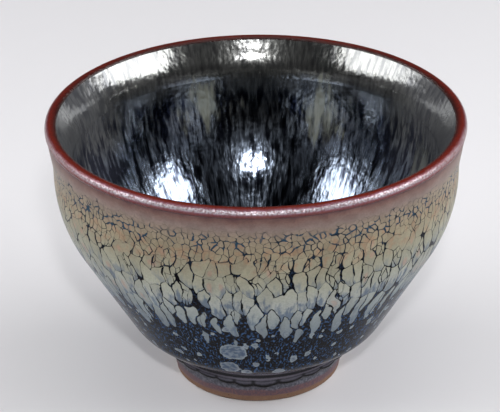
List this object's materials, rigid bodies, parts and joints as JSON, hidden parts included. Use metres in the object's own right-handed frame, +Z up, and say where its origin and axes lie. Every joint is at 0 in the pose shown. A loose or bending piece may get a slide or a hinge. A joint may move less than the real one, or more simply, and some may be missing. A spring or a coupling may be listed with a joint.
{
  "type": "tea bowl",
  "caption": "Small round tea bowl on a turned foot ring, with a red-brown lip and a dark oil-spot glaze that gathers in a torn roll above the foot.",
  "frame": {"origin": "centre of the foot ring's resting face", "axes": "+Z up along the bowl's axis, out of its mouth; the bowl is round, so +X and +Y are any two square directions, with +X to the right in the picture"},
  "size_m": [0.088, 0.088, 0.0592],
  "materials": {
    "bare_stoneware": "matt fired clay, turned smooth",
    "iron_slip": "satin iron wash",
    "oil_spot_glaze": "gloss glaze, silvery oil spots that run into cells near the lip",
    "iron_red_glaze": "satin gloss",
    "streaked_black_glaze": "high gloss, fine silver-blue streaks running to the well"
  },
  "bodies": {
    "root": {"stoneware_body": "bare_stoneware", "foot_slip": "iron_slip", "outer_glaze": "oil_spot_glaze", "lip_glaze": "iron_red_glaze", "inner_glaze": "streaked_black_glaze"}
  },
  "joints": []
}
